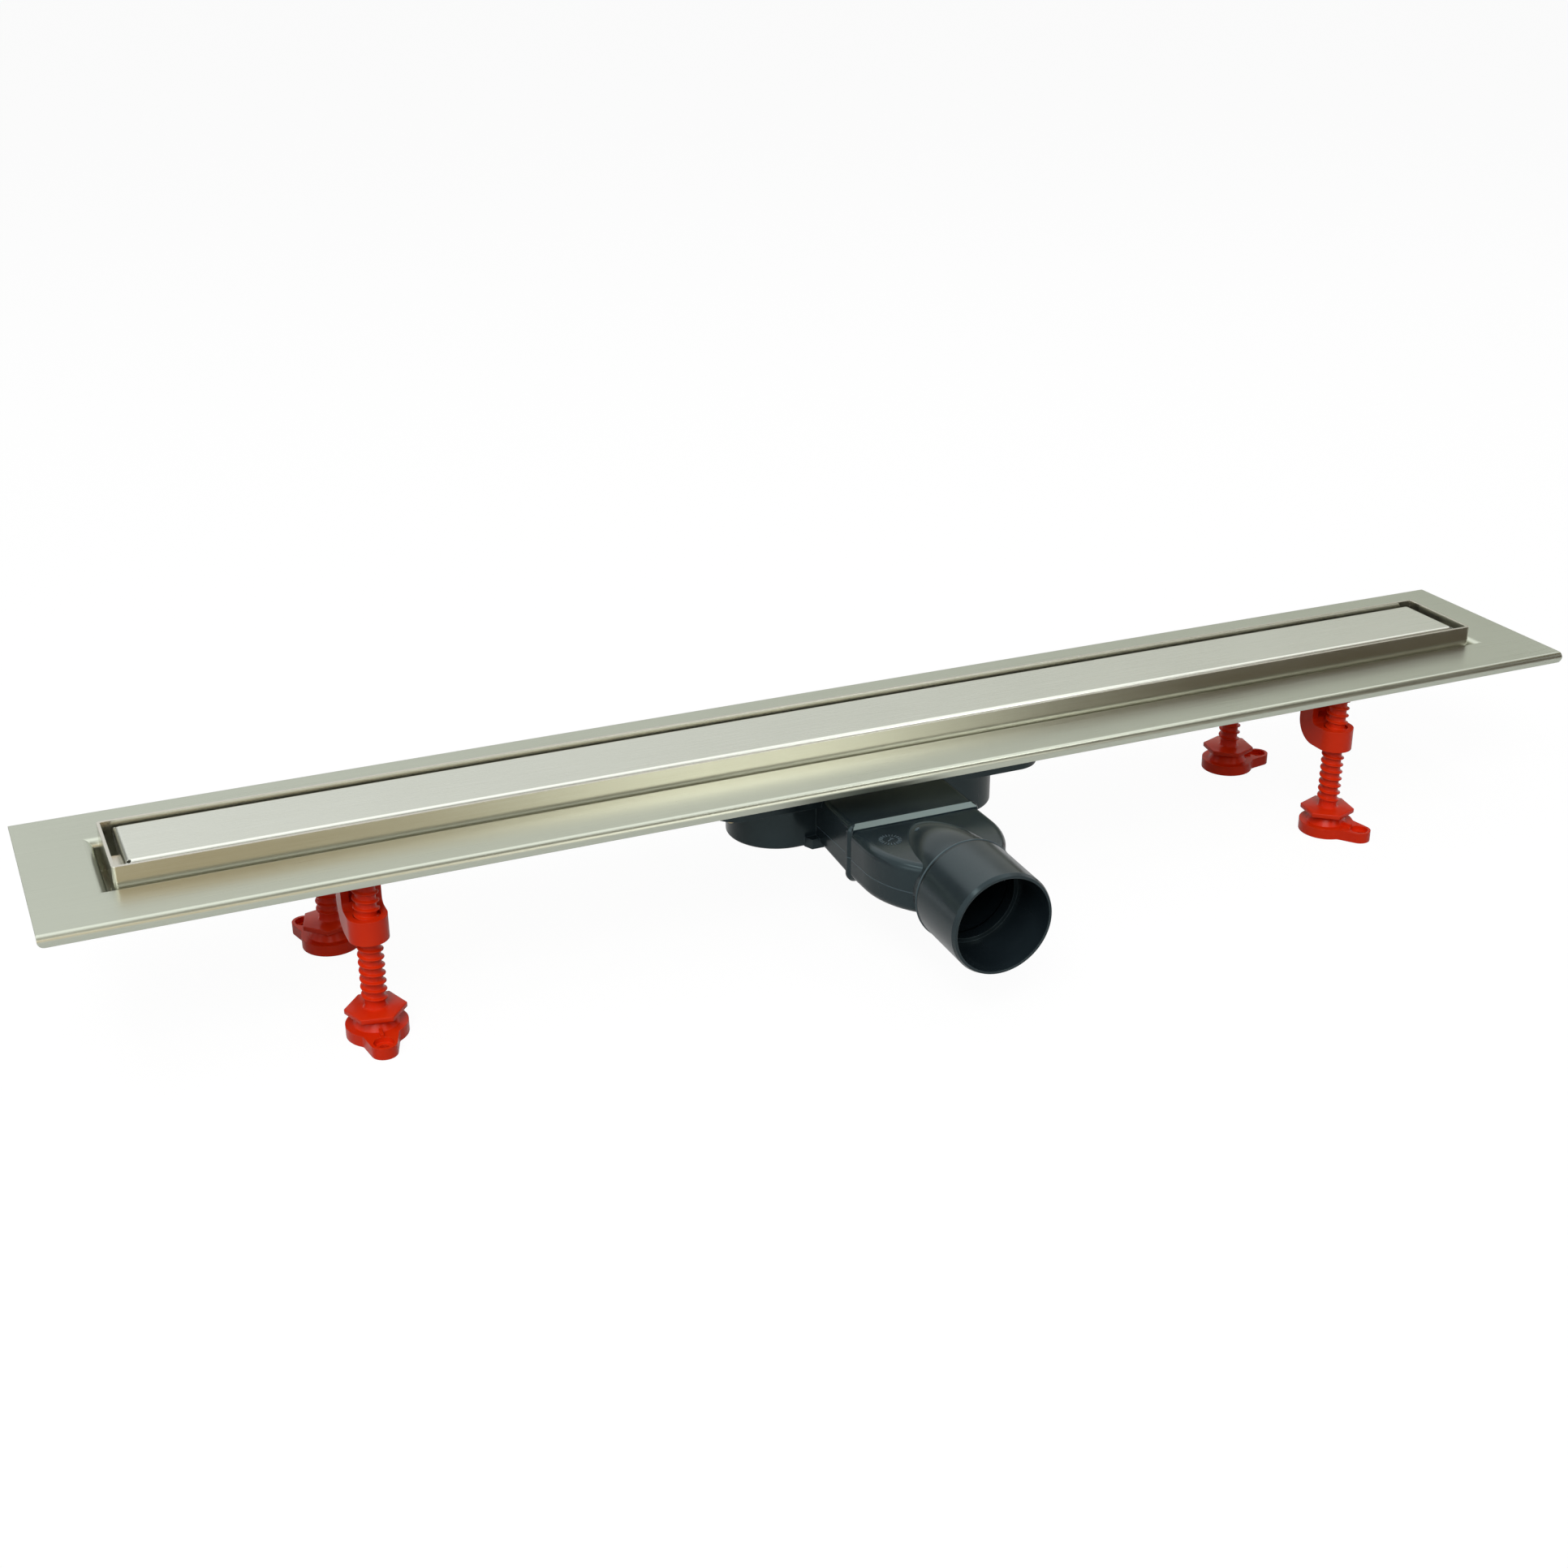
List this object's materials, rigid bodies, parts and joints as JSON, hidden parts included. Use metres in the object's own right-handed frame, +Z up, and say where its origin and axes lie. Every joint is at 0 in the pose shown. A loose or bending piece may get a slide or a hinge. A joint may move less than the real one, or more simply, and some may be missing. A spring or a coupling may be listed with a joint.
{
  "type": "linear shower drain",
  "caption": "Linear shower drain: folded stainless channel with a raised tile frame and lift-out cover, a flat siphon with a round side outlet, and screw feet for levelling.",
  "frame": {"origin": "on the floor under the pads, at the middle of the part's plan box", "axes": "+X along the channel, +Y away from the outlet, +Z up"},
  "size_m": [0.785, 0.2206, 0.0925],
  "materials": {
    "steel": "satin stainless sheet",
    "cover": "stainless sheet brushed lengthwise",
    "hardware": "plain stainless",
    "siphon": "satin moulded polypropylene, dark grey",
    "insert": "moulded polypropylene, grey",
    "seal": "black elastomer",
    "foot": "satin gloss moulded plastic, red"
  },
  "bodies": {
    "channel": {"channel_tray": "steel", "tile_frame": "steel", "cover_plate": "cover", "cover_rest_left": "steel", "cover_rest_right": "steel", "clamp_ring": "hardware", "clamp_screws": "hardware", "bracket_studs": "hardware", "siphon_body": "siphon", "outlet_adapter": "siphon", "trap_insert": "insert", "hair_strainer": "insert", "outlet_seal": "seal", "flange_gasket": "seal", "insert_seal": "seal", "foot_bracket_front_left": "foot", "foot_bracket_front_right": "foot", "foot_bracket_back_left": "foot", "foot_bracket_back_right": "foot"},
    "pad_front_left": {"foot_pad_front_left": "foot"},
    "screw_front_left": {"spindle_front_left": "foot"},
    "pad_front_right": {"foot_pad_front_right": "foot"},
    "screw_front_right": {"spindle_front_right": "foot"},
    "pad_back_left": {"foot_pad_back_left": "foot"},
    "screw_back_left": {"spindle_back_left": "foot"},
    "pad_back_right": {"foot_pad_back_right": "foot"},
    "screw_back_right": {"spindle_back_right": "foot"}
  },
  "joints": [
    {"name": "extend_front_left", "type": "slide", "parent": "channel", "child": "pad_front_left", "axis": [0, 0, -1], "range_m": [-0.005, 0.015]},
    {"name": "turn_front_left", "type": "hinge", "parent": "pad_front_left", "child": "screw_front_left", "pos_m": [-0.257, -0.00395, 0], "axis": [0, 0, 1], "range_deg": [-451, 1351]},
    {"name": "extend_front_right", "type": "slide", "parent": "channel", "child": "pad_front_right", "axis": [0, 0, -1], "range_m": [-0.005, 0.015]},
    {"name": "turn_front_right", "type": "hinge", "parent": "pad_front_right", "child": "screw_front_right", "pos_m": [0.257, -0.00395, 0], "axis": [0, 0, 1], "range_deg": [-451, 1351]},
    {"name": "extend_back_left", "type": "slide", "parent": "channel", "child": "pad_back_left", "axis": [0, 0, -1], "range_m": [-0.005, 0.015]},
    {"name": "turn_back_left", "type": "hinge", "parent": "pad_back_left", "child": "screw_back_left", "pos_m": [-0.257, 0.08705, 0], "axis": [0, 0, 1], "range_deg": [-451, 1351]},
    {"name": "extend_back_right", "type": "slide", "parent": "channel", "child": "pad_back_right", "axis": [0, 0, -1], "range_m": [-0.005, 0.015]},
    {"name": "turn_back_right", "type": "hinge", "parent": "pad_back_right", "child": "screw_back_right", "pos_m": [0.257, 0.08705, 0], "axis": [0, 0, 1], "range_deg": [-451, 1351]}
  ],
  "couplings": [
    {"joint": "turn_front_left", "follows": "extend_front_left", "rad_per_m": 1570.8},
    {"joint": "turn_front_right", "follows": "extend_front_right", "rad_per_m": 1570.8},
    {"joint": "turn_back_left", "follows": "extend_back_left", "rad_per_m": 1570.8},
    {"joint": "turn_back_right", "follows": "extend_back_right", "rad_per_m": 1570.8}
  ]
}
